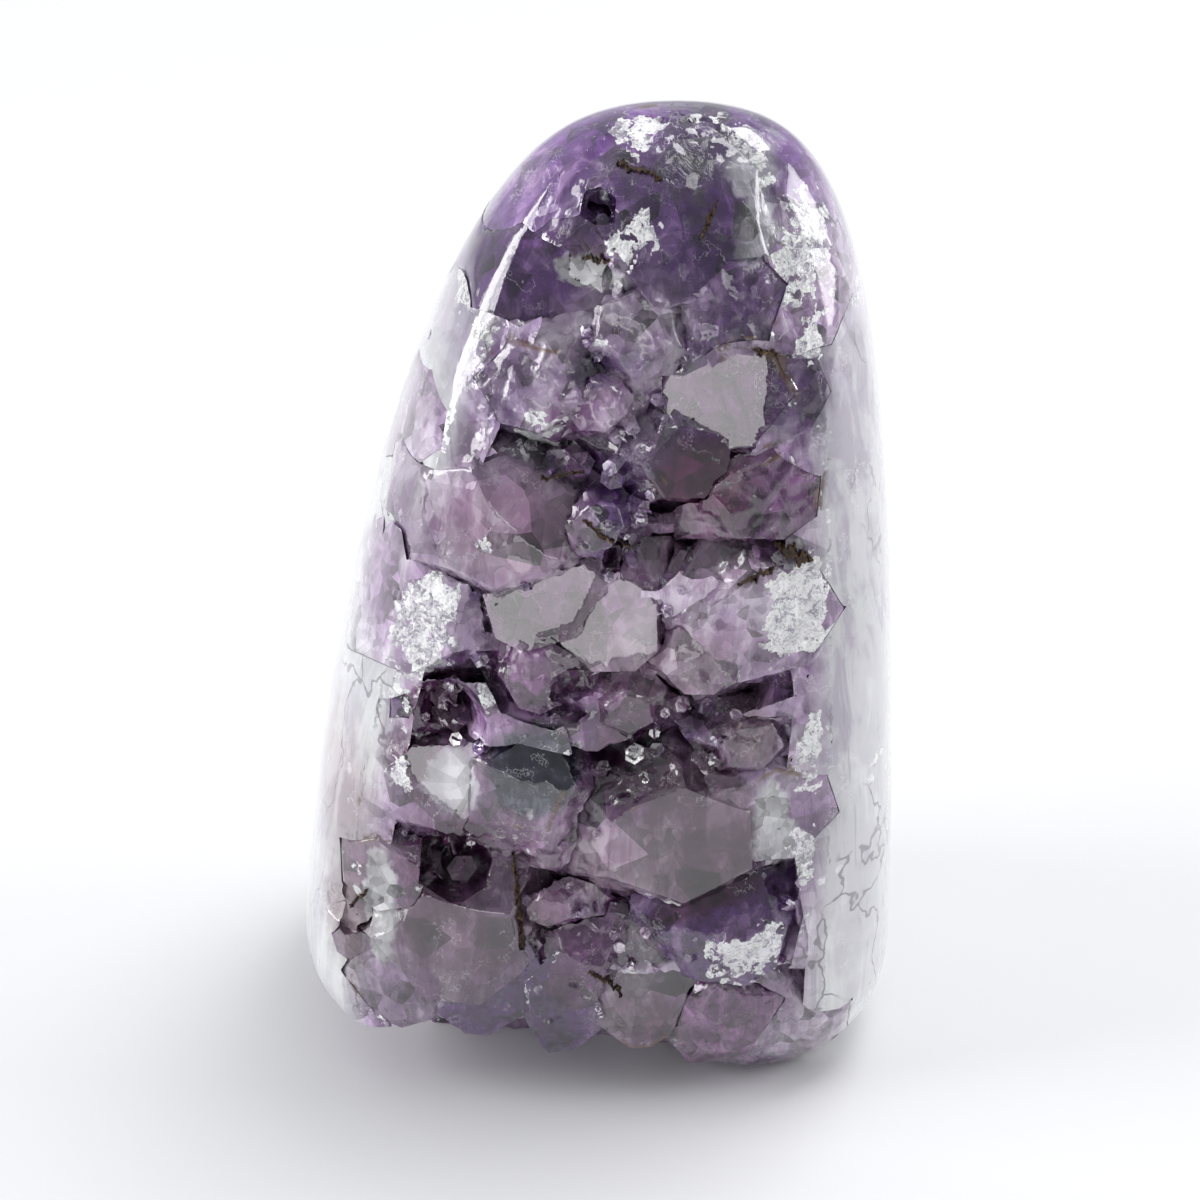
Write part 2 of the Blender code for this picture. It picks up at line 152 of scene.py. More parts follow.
# Large patches of the front: x and z of the middle, half width and half height, all in
# millimetres, turn in degrees, how soft the edge is from 0 to 1, strength, and tone.
PATCHES = (
    (10.4, 108.3, 4.0, 2.4, 0, 0.2, 0.95, "deep"),
    (1.9, 103.7, 5.6, 3.0, 20, 0.3, 0.9, "deep"),
    (-7.5, 101.0, 8.0, 4.5, 35, 0.4, 0.8, "violet"),
    (16.4, 107.0, 2.8, 2.0, 0, 0.1, 0.9, "pale"),
    (16.6, 101.8, 2.4, 2.9, 0, 0.1, 0.9, "pale"),
    (4.4, 93.5, 5.2, 3.7, 0, 0.6, 0.8, "lilac"),
    # painted shade in the open hollow
    (1.4, 88.9, 5.0, 1.7, 8, 0.3, 0.9, "deep"),
    (-10.0, 86.0, 4.5, 4.0, 0, 0.5, 0.7, "violet"),
    (-9.0, 71.1, 8.4, 5.6, 6, 0.3, 0.9, "rose"),
    (-3.1, 81.0, 2.4, 5.0, 15, 0.2, 0.8, "mauve"),
    (3.8, 83.0, 4.6, 5.0, 0, 0.6, 0.7, "lilac"),
    (11.0, 76.2, 5.4, 5.4, 30, 0.3, 0.95, "wine"),
    (10.5, 69.0, 6.8, 3.8, -10, 0.4, 0.8, "rose"),
    (21.0, 85.5, 4.0, 4.4, 0, 0.3, 0.8, "deep"),
    (-1.7, 61.0, 2.6, 3.6, -30, 0.1, 0.95, "plum"),
    # painted reflection: a white patch on the gable crystal's flat
    (-0.8, 97.2, 3.6, 1.8, 0, 0.1, 1.0, "white"),
    # painted shade: the black patch and the two plum patches below darken the open hollows
    (-3.4, 55.7, 2.8, 2.8, 0, 0.1, 1.0, "black"),
    (-17.1, 49.0, 3.9, 4.4, 0, 0.2, 1.0, "plum"),
    (-19.6, 42.2, 3.2, 4.4, 20, 0.2, 1.0, "plum"),
    (-7.7, 53.4, 5.0, 4.6, 0, 0.4, 0.7, "mauve"),
    (9.0, 55.5, 10.5, 5.5, 0, 0.5, 0.95, "rose"),
    (18.5, 54.0, 5.0, 5.0, 0, 0.4, 0.9, "lilac"),
    (-27.5, 50.0, 4.0, 8.0, 0, 0.5, 0.8, "pale"),
    (-15.9, 41.2, 3.0, 3.2, 0, 0.1, 0.9, "pale"),
    (-12.6, 35.3, 8.4, 2.4, -8, 0.3, 0.9, "plum"),
    # painted shade in the open hollow
    (-16.7, 30.4, 5.6, 4.4, 0, 0.25, 1.0, "plum"),
    (-16.0, 22.2, 6.8, 4.6, -8, 0.1, 0.95, "grey"),
    (-6.0, 27.0, 2.8, 6.0, 0, 0.5, 0.7, "earth"),
    # painted reflection: a white streak on the lens crystal
    (-24.0, 24.6, 1.9, 7.6, 0, 0.08, 1.0, "white"),
    (-27.8, 21.0, 2.6, 6.0, 0, 0.3, 0.9, "earth"),
    (-28.2, 36.0, 4.0, 8.0, 0, 0.5, 0.7, "earth"),
    (4.6, 50.0, 8.6, 1.8, 8, 0.3, 0.8, "plum"),
    (-0.5, 38.0, 9.6, 12.5, 0, 0.3, 0.6, "mauve"),
    (-6.8, 43.6, 5.2, 5.4, 0, 0.12, 1.0, "slate"),
    (3.2, 44.8, 3.8, 5.2, -25, 0.1, 1.0, "plum"),
    (10.9, 35.6, 6.6, 9.8, -8, 0.05, 0.95, "grey"),
    (1.9, 31.6, 4.6, 6.0, -30, 0.15, 0.9, "rose"),
    (19.4, 35.3, 2.2, 6.8, 6, 0.08, 1.0, "white"),
    (16.5, 47.8, 2.6, 3.4, 0, 0.3, 0.8, "earth"),
    (12.6, 26.2, 7.0, 1.6, 18, 0.2, 0.9, "plum"),
    (5.5, 11.4, 5.0, 3.0, -20, 0.1, 0.9, "grey"),
)
# The same for silvery, crumpled fractures, without strength and tone.
FOILS = (
    (4.2, 109.3, 3.0, 1.0, 0),
    (16.6, 108.2, 3.0, 1.2, -25),
    (21.6, 99.8, 2.7, 4.2, -12),
    (22.6, 90.5, 1.1, 2.2, 0),
    (-13.4, 91.4, 2.4, 3.6, 30),
    (-7.1, 96.4, 3.2, 1.3, 0),
    (4.6, 101.8, 3.4, 2.2, 20),
    (-6.0, 82.4, 1.9, 4.4, -25),
    (21.5, 62.3, 3.4, 6.0, -12),
    (-18.4, 57.6, 2.8, 7.4, -16),
    (-12.2, 53.4, 0.8, 3.4, 20),
    (22.6, 30.0, 1.3, 10.0, 6),
    (16.7, 21.6, 4.0, 3.4, 30),
    (-21.6, 47.5, 1.2, 9.0, 4),
    (23.4, 45.0, 1.8, 5.0, 0),
    (5.8, 27.0, 4.6, 1.2, -35),
)
PATCH_EDGE = 0.02  # what keeps the hardest edge of a patch from being a step
GRAIN_PULL = 0.6  # how much the edges of the patches follow the grains
FOIL_EDGE = 0.4  # how soft the edge of a foil is
PATCH_GRAIN = 1.5  # width of the grains along the edge of a patch, in millimetres
TOP_TINT = (80.0, 106.0)  # between these heights the polished mass turns violet, in millimetres
TONE_NAMES = ("tone_dark", "tone_middle", "tone_pale")
# Painted reflection: the pale tones painted on the polished sides of the mass, for the white
# surroundings they mirror.
SIDE_REFLECTION_TONES = ((0.42, 0.38, 0.46), (0.62, 0.61, 0.65), (0.78, 0.78, 0.80))
WHITE_FRACTURE = (0.86, 0.84, 0.88)
# painted glints on the fracture sheets, from the dullest to the brightest
SILVER_GLINTS = ((0.33, 0.29, 0.38), (1.0, 0.99, 1.0))
SPARKLE = (0.95, 0.93, 0.97)
HAIR_CRACK = (0.13, 0.115, 0.14)
SCRATCH = (0.28, 0.26, 0.31)
IRON_STAIN = (0.10, 0.045, 0.015)
# How polished quartz shines and glows, the same on every stone.
QUARTZ_GLOSS = {
    "IOR": 1.55,
    "Coat Weight": 1.0,
    "Coat Roughness": 0.02,
    "Coat IOR": 1.7,
    "Subsurface Weight": 0.15,
    "Subsurface Radius": (0.9, 0.5, 1.0),
    "Subsurface Scale": 0.002,
}
# The rusty crust: its pits, its body and its crumbs.
RUST = ((0.012, 0.007, 0.004), (0.070, 0.034, 0.012), (0.36, 0.23, 0.10))
# How many noise waves or grains of a finish there are in a metre.
CLOUDS = 55
VEILS = 330
SHARDS = 700
TEARS = 95
CRUMPLE_BENDS = 420
CRUMPLES = 560
GLINTS = 1300
THREADS = 170
THREAD_GROUPS = 140
SPARKLES = 1100
CRACK_BENDS = 130
CRACKS = 95
CRACK_GROUPS = 60
SCRATCHES = 1100
STAINS = 105
RUST_GRAINS = 1500

# Crystal: tone, share of white fractures, share of clear transmission, chip size in millimetres,
# and how strongly its front is broken, 0 where it was ground smooth.
CRYSTALS = {
    "great_crystal": ("clear", 0.15, 0.5, 6.0, 0.0),
    "window_crystal": ("clear", 0.1, 0.5, 6.0, 0.0),
    "magenta_crystal": ("violet", 0.2, 0.6, 3.0, 0.9),
    "lilac_crystal": ("lilac", 0.35, 0.5, 5.0, 0.4),
    "left_clear_crystal": ("lilac", 0.5, 0.5, 3.0, 0.8),
    "pentagon_crystal": ("mauve", 0.4, 0.5, 3.0, 0.7),
    "slate_crystal": ("clear", 0.2, 0.4, 3.0, 0.5),
    "pale_shoulder_crystal": ("lilac", 0.3, 0.4, 4.0, 0.5),
    "chevron_left_crystal": ("mauve", 0.4, 0.5, 3.5, 0.8),
    "chevron_right_crystal": ("mauve", 0.2, 0.5, 3.5, 0.5),
    "white_flank_crystal": ("lilac", 0.95, 0.3, 3.0, 0.6),
    "right_flank_crystal": ("lilac", 0.95, 0.3, 3.0, 0.6),
    "heart_crystal": ("mauve", 0.2, 0.5, 4.0, 0.9),
    "ember_crystal": ("mauve", 0.2, 0.5, 3.0, 0.9),
    "cavity_crystal": ("deep", 0.1, 0.5, 2.5, 1.0),
    "middle_crystal": ("violet", 0.2, 0.5, 3.0, 1.0),
    "right_ledge_crystal": ("mauve", 0.5, 0.4, 3.0, 0.8),
    "mauve_step_crystal": ("mauve", 0.3, 0.5, 3.0, 0.9),
    "fractured_crystal": ("violet", 0.5, 0.5, 2.5, 1.1),
    "right_strip_crystal": ("lilac", 0.5, 0.4, 3.0, 0.5),
    "rusty_crystal": ("clear", 0.4, 0.4, 2.0, 1.0),
    "band_crystal": ("violet", 0.15, 0.5, 3.0, 0.9),
    "lens_crystal": ("clear", 0.4, 0.4, 3.0, 0.0),
    "shoulder_crystal": ("lilac", 0.7, 0.4, 3.0, 0.6),
    "left_facet_crystal": ("violet", 0.3, 0.5, 4.0, 0.4),
    "cloudy_crystal": ("lilac", 0.5, 0.5, 3.0, 1.0),
    "mauve_crown_crystal": ("mauve", 0.2, 0.5, 3.0, 0.9),
    "violet_ridge_crystal": ("violet", 0.3, 0.5, 3.0, 0.9),
    "feather_crystal": ("lilac", 1.0, 0.3, 2.5, 0.6),
    "gable_crystal": ("mauve", 0.6, 0.5, 2.5, 0.8),
    "cap_left_crystal": ("violet", 0.5, 0.5, 3.0, 0.3),
    "cap_crystal": ("deep", 0.25, 0.5, 4.0, 0.3),
    "left_ledge_crystal": ("lilac", 0.6, 0.4, 3.0, 0.5),
    "pocket_crystal": ("violet", 0.3, 0.5, 2.0, 1.0),
    "lip_crystal": ("lilac", 0.2, 0.6, 2.5, 0.8),
    "root_crystal": ("mauve", 0.3, 0.4, 2.0, 1.0),
    "drop_crystal": ("mauve", 0.3, 0.6, 2.5, 0.8),
    "grey_drop_crystal": ("clear", 0.2, 0.5, 3.0, 0.3),
    "striped_crystal": ("mauve", 0.35, 0.5, 2.0, 0.8),
    "corner_crystal": ("lilac", 0.5, 0.5, 2.5, 1.0),
    "hanging_crystal": ("violet", 0.2, 0.6, 2.5, 0.9),
    "left_hanging_crystal": ("violet", 0.2, 0.6, 2.5, 0.9),
}
# Flats on single crystals: x and z of the middle, how it leans from GLINT_WAY across and upwards,
# and how deep it was sunk, all lengths in millimetres.
GLINT_WAY = (-0.10, -0.93, 0.36)
FLAT_LIKENESS = 0.96  # a face that looks so much the same way is one of the flats
FLATS = {
    "pentagon_crystal": ((13.5, 85.0, 0.04, 0.0, 1.6),),
    "pale_shoulder_crystal": ((-16.0, 42.0, 0.0, 0.0, 1.2),),
    "chevron_left_crystal": ((-8.5, 63.5, -0.04, 0.0, 1.4),),
    "chevron_right_crystal": ((2.5, 61.0, 0.06, 0.02, 1.2),),
    "slate_crystal": ((-7.3, 44.0, 0.16, 0.14, 0.9),),
    "grey_drop_crystal": ((5.9, 13.0, 0.10, -0.08, 0.9),),
    "gable_crystal": ((-0.7, 96.5, 0.03, 0.0, 2.2),),
    "left_facet_crystal": ((-10.0, 99.0, 0.0, 0.10, 0.9),),
    "lilac_crystal": ((-7.0, 71.0, 0.12, 0.20, 0.6),),
    "magenta_crystal": ((9.0, 74.0, 0.2, -0.1, 1.0),),
    "great_crystal": ((5.0, 43.0, -0.30, 0.20, 1.2),),
    "fractured_crystal": ((21.0, 26.0, 0.16, 0.08, 1.3),),
}
# Iron-stained cracks on the front: x and z of both ends, and width, in millimetres.
IRON_SEAMS = (
    (19.1, 69.2, 23.9, 67.8, 1.15),
    (15.0, 65.7, 19.0, 67.3, 0.65),
    (-1.8, 99.4, 1.9, 98.9, 0.6),
    (-6.0, 76.6, -1.4, 77.8, 0.4),
    (-1.5, 72.8, 3.6, 69.3, 0.4),
    (-9.2, 32.5, -8.2, 21.0, 0.75),
    (-31.0, 23.0, -27.6, 26.6, 0.7),
    (16.6, 90.9, 19.3, 90.3, 0.6),
    (12.6, 105.0, 10.8, 101.6, 0.55),
    (-0.8, 18.2, 2.8, 14.4, 0.5),
    (2.0, 107.9, 6.6, 106.8, 0.5),
)
RIM_TOP = 24.0  # up to this height the lower rim's own small points grow
# Small quartz points: how far apart they stand, the least hollow they grow in, and their size.
DRUSE_STEP = 2.3
DRUSE_DEPTH = 1.1
DRUSE_SIZE = (1.0, 2.8)
DRUSE_SMALLNESS = 1.6  # above 1, more of the points are small
DRUSE_BURIED = 0.34  # the largest size as a share of the hollow's depth
DRUSE_BARE = 0.62  # share of the places that stay bare
DRUSE_LOWEST = 3.0  # nothing grows lower than this, in millimetres
DRUSE_FRONT = 0.3  # how open the front must be where a point grows
DRUSE_LEAN = 0.9  # how far the points lean away from the face they grow on
DRUSE_SHAPE = (1.0, 0.85, 1.05)  # width, thickness and length of a point of size 1
# Where the hollows are looked at from, in millimetres before and above the place, and the way.
LOOK_FROM = (-60.0, 20.0)
LOOK_WAY = (0.25, 1.0, -0.42)

SLOTS = {sub["node"]: sub["material_slot"] for sub in frame["record"]["subparts"]}


# ---------------------------------------------------------------- the outline


def blend(low, high, share):
    return low + (high - low) * share


def outline_at(z):
    """Middle x and y, half width, front and back depth and corner powers of the outline at z."""
    rise = np.clip((z - WAIST_Z) / (HEIGHT - WAIST_Z), 0, 1)
    drop = np.clip((WAIST_Z - z) / BELOW_WAIST, 0, 1)
    foot = (1 - drop**2.5) ** (1 / 2.5)
    width = np.maximum(foot * (1 - rise**1.4) ** (1 / 3.2), 1e-4)
    depth = np.maximum(foot * (1 - rise**2) ** (1 / 2.4), 1e-4)
    return (
        APEX_X * rise**1.35,
        APEX_Y * rise,
        HALF_WIDTH * width,
        FRONT_DEPTH * depth,
        BACK_DEPTH * depth,
        blend(3.4, 2.0, rise**2),
        blend(2.5, 2.0, rise**2),
    )


def outside(points):
    """Below 0 inside the outline and above 0 outside it, for rows of points in millimetres."""
    x, y, z = points.T
    middle_x, middle_y, half, front, back, front_power, back_power = outline_at(z)
    along = y - middle_y
    depth = np.where(along < 0, front, back)
    power = np.where(along < 0, front_power, back_power)
    across = np.abs(x - middle_x) / half
    value = (across**power + (np.abs(along) / depth) ** power) ** (1 / power) - 1
    return np.where(z >= HEIGHT, 1.0, np.minimum(value, 5.0))


def outline_slope(points):
    """The outline's outward direction and how fast outside() rises along it, at each point."""
    step = 0.05
    slope = np.stack(
        [(outside(points + way) - outside(points - way)) / (2 * step) for way in np.eye(3) * step],
        axis=1,
    )
    size = np.linalg.norm(slope, axis=1, keepdims=True)
    return slope / np.maximum(size, 1e-9), np.maximum(size[:, 0], 1e-6)


def onto_outline(points):
    """The nearest places on the outline."""
    for _ in range(3):
        slope, size = outline_slope(points)
        points = points - slope * (outside(points) / size)[:, None]
    return points


def front_depth(points):
    """How far each point lies straight behind the front of the outline."""
    x, y, z = points.T
    middle_x, middle_y, half, front, _, power, _ = outline_at(z)
    across = np.minimum(np.abs(x - middle_x) / half, 1)
    return y - middle_y + front * (1 - across**power) ** (1 / power)


def front_share(points):
    """1 on the open middle of the front, where the crystals show, and 0 on the polished sides."""
    middle_x, middle_y, half = outline_at(points[:, 2])[:3]
    across = (points[:, 0] - middle_x) / half
    left = np.clip((LEFT_SHARE[1] + across) / (LEFT_SHARE[1] - LEFT_SHARE[0]), 0, 1)
    right = np.clip((RIGHT_SHARE[1] - across) / (RIGHT_SHARE[1] - RIGHT_SHARE[0]), 0, 1)
    return left * right * (points[:, 1] < middle_y)


# ---------------------------------------------------------------- broken surfaces


def steady_random(cells, salt):
    """Three steady numbers from 0 to 1 for each row of whole numbers."""
    mixed = (cells * (73856093, 19349663, 83492791)).sum(1) + salt * 7919
    mixed = (mixed ^ (mixed >> 13)) * 1274126177 & 0x7FFFFFFF
    return np.stack([(mixed >> shift & 0x3FF) / 1023 for shift in (3, 11, 19)], axis=1)


def broken_field(points, size):
    """How far each point lies below a surface of sharp flats, each about as wide as size."""
    corners = np.array([(1, 1, 1), (1, -1, -1), (-1, 1, -1), (-1, -1, 1)]) / math.sqrt(3)
    home = np.floor(points / size).astype(np.int64)
    lowest = np.full(len(points), np.inf)
    for offset in np.ndindex(3, 3, 3):
        cells = home + np.array(offset) - 1
        middle = (cells + steady_random(cells, 1)) * size
        turn = steady_random(cells, 2) * 2 * math.pi
        away = points - middle
        for first, second in ((0, 1), (1, 2), (2, 0)):
            cosine, sine = np.cos(turn[:, first]), np.sin(turn[:, first])
            turned = away[:, first] * cosine - away[:, second] * sine
            away[:, second] = away[:, first] * sine + away[:, second] * cosine
            away[:, first] = turned
        lowest = np.minimum(lowest, (away @ corners.T).max(1))
    return np.maximum(lowest, 0)


def broken_depth(points):
    return sum(steep * broken_field(points, size) for size, steep in BREAKS)


# ---------------------------------------------------------------- stone meshes


def wanted_edges(points, fine_depth):
    """The longest edge allowed at each point, in millimetres."""
    slope, size = outline_slope(points)
    depth = -outside(points) / size
    near = np.where(front_share(points) > 0, FINE_EDGE, SMOOTH_EDGE)
    wanted = np.where(depth < fine_depth, near, WALL_EDGE)
    return np.where(points[:, 2] < BASE_EDGE * 2, BASE_EDGE_LENGTH, wanted)


def vertex_places(mesh):
    places = np.empty(len(mesh.vertices) * 3)
    mesh.vertices.foreach_get("co", places)
    return places.reshape(-1, 3)


def fine_copy(node, fine_depth):
    """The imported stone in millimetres, merged, with its long edges cut up."""
    bm = bmesh.new()
    bm.from_mesh(frame["nodes"][node].data)
    bmesh.ops.remove_doubles(bm, verts=bm.verts, dist=MERGE_WITHIN)
    bmesh.ops.scale(bm, vec=(1 / MM,) * 3, verts=bm.verts)
    bmesh.ops.dissolve_limit(bm, angle_limit=math.radians(0.5), verts=bm.verts, edges=bm.edges)
    bmesh.ops.triangulate(bm, faces=bm.faces)
    for _ in range(CUT_ROUNDS):
        bm.verts.index_update()
        wanted = wanted_edges(np.array([vert.co for vert in bm.verts]), fine_depth)
        long_edges = [
            edge
            for edge in bm.edges
            if edge.calc_length() > min(wanted[edge.verts[0].index], wanted[edge.verts[1].index])
        ]
        if not long_edges:
            break
        bmesh.ops.subdivide_edges(bm, edges=long_edges, cuts=1)
        bmesh.ops.triangulate(bm, faces=bm.faces, quad_method="SHORT_EDGE")
    mesh = bpy.data.meshes.new(node + "_stone")
    bm.to_mesh(mesh)
    bm.free()
    return mesh


def unit_rows(rows):
    return rows / np.maximum(np.linalg.norm(rows, axis=1, keepdims=True), 1e-9)


def swell_direction(places, triangles, chosen):
    """At each vertex, the push that moves the chosen faces around it out by 1, 0 where none is."""
    corners = places[triangles[chosen]]
    normals = np.cross(corners[:, 1] - corners[:, 0], corners[:, 2] - corners[:, 0])
    total = np.zeros_like(places)
    for corner in range(3):
        np.add.at(total, triangles[chosen][:, corner], normals)
    total = unit_rows(total)
    lean = np.zeros(len(places))
    weight = np.full(len(places), 1e-9)
    areas = np.linalg.norm(normals, axis=1)
    for corner in range(3):
        index = triangles[chosen][:, corner]
        np.add.at(lean, index, np.einsum("ij,ij->i", normals, total[index]))
        np.add.at(weight, index, areas)
    return total / np.clip(lean / weight, 0.5, 1.0)[:, None]


def rim_values(places, is_polished, has_natural):
    """1 on a parting, falling off across the polished faces."""
    tree = kdtree.KDTree(max(int(has_natural.sum()), 1))
    for index in np.flatnonzero(has_natural):
        tree.insert(places[index], int(index))
    tree.balance()
    values = np.full(len(places), RIM_INSIDE)
    for index in np.flatnonzero(is_polished):
        found = tree.find(places[index])[2]
        values[index] = math.exp(-(99.0 if found is None else found) / RIM_REACH)
    return values


def grind_flats(mesh, flats):
    """Grinds a stone down to its flats, each with a crisp straight edge."""
    bm = bmesh.new()
    bm.from_mesh(mesh)
    ground = bm.verts.layers.float["flat"]
    for x, z, lean_x, lean_z, sink in flats:
        middle_y, front = outline_at(z)[1], outline_at(z)[3]
        middle = onto_outline(np.array([(x, middle_y - front * 0.9, z)]))
        sunk = Vector((middle - outline_slope(middle)[0] * sink)[0]) * MM
        normal = (Vector(GLINT_WAY) + Vector((lean_x, 0, lean_z))).normalized()
        everything = bm.verts[:] + bm.edges[:] + bm.faces[:]
        bmesh.ops.bisect_plane(bm, geom=everything, dist=1e-7, plane_co=sunk, plane_no=normal)
        for vert in bm.verts:
            over = (vert.co - sunk).dot(normal)
            if over > -1e-7 and vert.co.y < middle_y * MM:
                vert.co -= normal * over
                vert.co.z = max(vert.co.z, 0.0)
                vert[ground] = 1.0
    bm.to_mesh(mesh)
    bm.free()


def fill_hollows(places, is_polished, fill):
    """Raises the hollows of the front towards the outline, except those that stay open."""
    behind = front_depth(places)
    foot, crown = FILL_HEIGHTS
    opened = (places[:, 1] < outline_at(places[:, 2])[1]) * np.clip(
        np.minimum(places[:, 2] - foot, crown - places[:, 2]) / FILL_FADE, 0, 1
    )
    for x, z, half_x, half_z in HOLLOWS:
        opened = opened * (1 - patch_share(places, x, z, half_x, half_z, 0, HOLLOW_EDGE))
    low, high = FILL_DEPTH
    risen = np.clip((high - behind) / (high - low), 0, 1) * fill * opened
    places[:, 1] -= np.maximum(behind, 0) * risen * ~is_polished


def write_values(mesh, **layers):
    """Writes one number for each vertex into the mesh, under each name."""
    for name, values in layers.items():
        layer = mesh.attributes.new(name, "FLOAT", "POINT")
        layer.data.foreach_set("value", values.astype(np.float32))


def stone(node, tone, broken, fill=0.0, fine_depth=FINE_DEPTH):
    """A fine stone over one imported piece, with its polish, rim and depth written into its mesh.

    broken is how strongly its front is broken, and fill is the share of the natural hollows that
    grown quartz has filled up again.
    """
    mesh = fine_copy(node, fine_depth)
    places = vertex_places(mesh)
    triangles = np.empty(len(mesh.polygons) * 3, int)
    mesh.polygons.foreach_get("vertices", triangles)
    triangles = triangles.reshape(-1, 3)

    slope, size = outline_slope(places)
    away = outside(places) / size
    near = np.abs(away) < POLISH_WITHIN
    corners = places[triangles]
    normals = unit_rows(np.cross(corners[:, 1] - corners[:, 0], corners[:, 2] - corners[:, 0]))
    facing = np.einsum("ij,ij->i", normals, unit_rows(slope[triangles].mean(1)))
    facing = facing > POLISH_LIKENESS
    polished = near[triangles].all(1) & facing & (corners[:, :, 2].min(1) > BASE_EDGE)
    is_polished = np.zeros(len(places), bool)
    is_polished[triangles[polished]] = True
    grounded = places[:, 2] < BASE_TOP

    # natural faces swell a little, so that the partings between stones close
    push = swell_direction(places, triangles, ~polished)
    has_natural = np.linalg.norm(push, axis=1) > 0
    rim = is_polished & has_natural
    along = push[rim] - slope[rim] * np.einsum("ij,ij->i", push[rim], slope[rim])[:, None]
    push[rim] = along / np.clip((along**2).sum(1), *RIM_PUSH)[:, None]
    push[grounded] = 0
    places += push * SEAM_SWELL
    places[is_polished] = onto_outline(places[is_polished])
    places[:, 2] = np.clip(places[:, 2], 0, HEIGHT)
    rim_value = rim_values(places, is_polished, has_natural)

    fill_hollows(places, is_polished, fill)
    slope, size = outline_slope(places)
    away = outside(places) / size
    share = front_share(places)

    # the front breaks down in sharp flats
    lowered = broken * share * broken_depth(onto_outline(places))
    lowered *= np.clip(places[:, 2] / BREAK_FOOT, 0, 1)
    excess = np.where(grounded, 0, np.maximum(away + lowered, 0))
    places -= slope * excess[:, None]
    broke = (excess > BROKEN_OVER) & (lowered > BROKEN_OVER)

    # natural faces are stepped
    inner = has_natural & ~is_polished & ~grounded & (excess == 0)
    fade = np.clip((-away - lowered - STEP_START) / STEP_GROWTH, 0, 1)
    steps = STEP_MIDDLE - broken_field(places, STEP_SIZE)
    places[inner] += push[inner] * (STEP_RELIEF * fade * steps)[inner][:, None]

    mesh.vertices.foreach_set("co", (places * MM).reshape(-1).astype(np.float32))
    write_values(
        mesh,
        polish=(is_polished & ~broke).astype(float),
        flat=np.zeros(len(places)),
        rim=rim_value,
        depth=np.clip(-away / DEPTH_SHOWN, 0, 1),
    )
    grind_flats(mesh, FLATS.get(node, ()))
    merge_slivers(mesh)
    paint(mesh, tone, is_polished_mass=node == "polished_mass")
    mesh.polygons.foreach_set("use_smooth", np.ones(len(mesh.polygons), bool))
    mesh.set_sharp_from_angle(angle=SHARP_ANGLE)
    piece = bpy.data.objects.new(node + "_stone", mesh)
    bpy.context.scene.collection.objects.link(piece)
    return piece


def merge_slivers(mesh):
    """Closes up the faces that the breaking has squeezed to nothing."""
    bm = bmesh.new()
    bm.from_mesh(mesh)
    bmesh.ops.remove_doubles(bm, verts=bm.verts, dist=SLIVER * MM)
    bmesh.ops.dissolve_degenerate(bm, edges=bm.edges, dist=SLIVER / 2 * MM)
    bmesh.ops.triangulate(bm, faces=bm.faces)
    bm.to_mesh(mesh)
    bm.free()


# ---------------------------------------------------------------- colour patches


def grain_sites(points, size):
    """The middle of the grain that each point belongs to, for grains as wide as size."""
    home = np.floor(points / size).astype(np.int64)
    nearest = np.full(len(points), np.inf)
    sites = points.copy()
    for offset in np.ndindex(3, 3, 3):
        cells = home + np.array(offset) - 1
        middle = (cells + steady_random(cells, 3)) * size
        gap = ((points - middle) ** 2).sum(1)
        closer = gap < nearest
        nearest[closer], sites[closer] = gap[closer], middle[closer]
    return sites


def patch_share(points, x, z, half_x, half_z, turn, soft):
    """1 for the points inside an oval patch of the front and 0 for those outside it."""
    cosine, sine = math.cos(math.radians(turn)), math.sin(math.radians(turn))
    across, up = points[:, 0] - x, points[:, 2] - z
    away = np.hypot((across * cosine + up * sine) / half_x, (up * cosine - across * sine) / half_z)
    facing = np.clip(outline_at(points[:, 2])[1] - points[:, 1], 0, 1)
    return np.clip((1 + soft - away) / (2 * soft + PATCH_EDGE), 0, 1) * facing


def paint(mesh, tone, is_polished_mass=False):
    """Writes a stone's dark, middle and pale tone, its sides painted pale as a painted reflection,
    and its foils into its mesh; among its patches are painted shade in the open hollows and painted
    reflections.
    """
    points = vertex_places(mesh) / MM
    tones = np.tile(np.array(PURPLES[tone]), (len(points), 1, 1))
    side = np.zeros(len(points))
    if is_polished_mass:
        low, high = TOP_TINT
        top = np.clip((points[:, 2] - low) / (high - low), 0, 1)
        # painted reflection: the polished sides of the mass are painted pale, for the white
        # surroundings they mirror
        side = np.clip(1 - np.maximum(front_share(points), top), 0, 1)
        tones = blend(tones, np.array(PURPLES["violet"]), top[:, None, None])
        tones = blend(tones, np.array(SIDE_REFLECTION_TONES), side[:, None, None])
    sites = grain_sites(points, PATCH_GRAIN)
    for *oval, strength, patch_tone in PATCHES:
        share = patch_share(blend(points, sites, GRAIN_PULL), *oval) * strength
        tones = blend(tones, np.array(PATCH_TONES[patch_tone]), share[:, None, None])
    foil = np.zeros(len(points))
    for oval in FOILS:
        foil = np.maximum(foil, patch_share(sites, *oval, FOIL_EDGE))
    for index, name in enumerate(TONE_NAMES):
        layer = mesh.attributes.new(name, "FLOAT_COLOR", "POINT")
        rgba = np.concatenate([tones[:, index], np.ones((len(points), 1))], axis=1)
        layer.data.foreach_set("color", rgba.reshape(-1).astype(np.float32))
    write_values(mesh, side=side, foil=foil)


# ---------------------------------------------------------------- small pieces


def deselect_all():
    bpy.ops.object.select_all(action="DESELECT")


